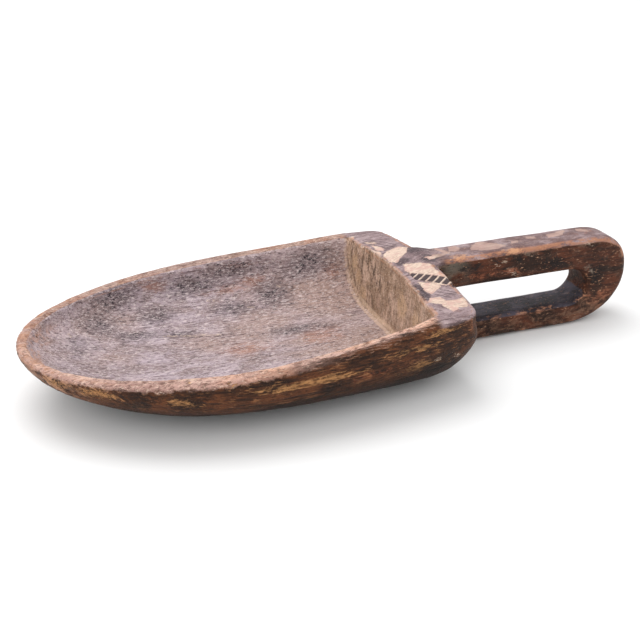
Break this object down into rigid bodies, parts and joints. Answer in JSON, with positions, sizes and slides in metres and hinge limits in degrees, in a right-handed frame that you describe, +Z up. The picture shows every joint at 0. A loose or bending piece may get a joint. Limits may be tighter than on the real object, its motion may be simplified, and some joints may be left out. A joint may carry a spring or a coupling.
{
  "type": "feed scoop",
  "caption": "Carved wooden feed scoop: a long U-shaped bowl with a sloped lip, a solid deck behind it and a closed loop handle standing on edge.",
  "frame": {"origin": "on the ground under the middle of the scoop's length and width, level with its flat underside", "axes": "+X along the scoop from the bowl's lip to the end of the handle, +Y across the bowl to the left for someone looking from the lip towards the handle, +Z up out of the open bowl"},
  "size_m": [0.445, 0.196, 0.0675],
  "materials": {
    "bowl_wood": "weathered, dry",
    "outer_wood": "dark, hand-worn",
    "deck_wood": "weathered, traces of pale paint",
    "handle_wood": "dark, polished by hands"
  },
  "bodies": {
    "root": {"bowl_nose": "bowl_wood", "bowl_floor": "bowl_wood", "bowl_side_left": "outer_wood", "bowl_side_right": "outer_wood", "rear_deck": "deck_wood", "handle_upper_bar": "handle_wood", "handle_lower_bar": "handle_wood", "handle_end": "handle_wood"}
  },
  "joints": []
}
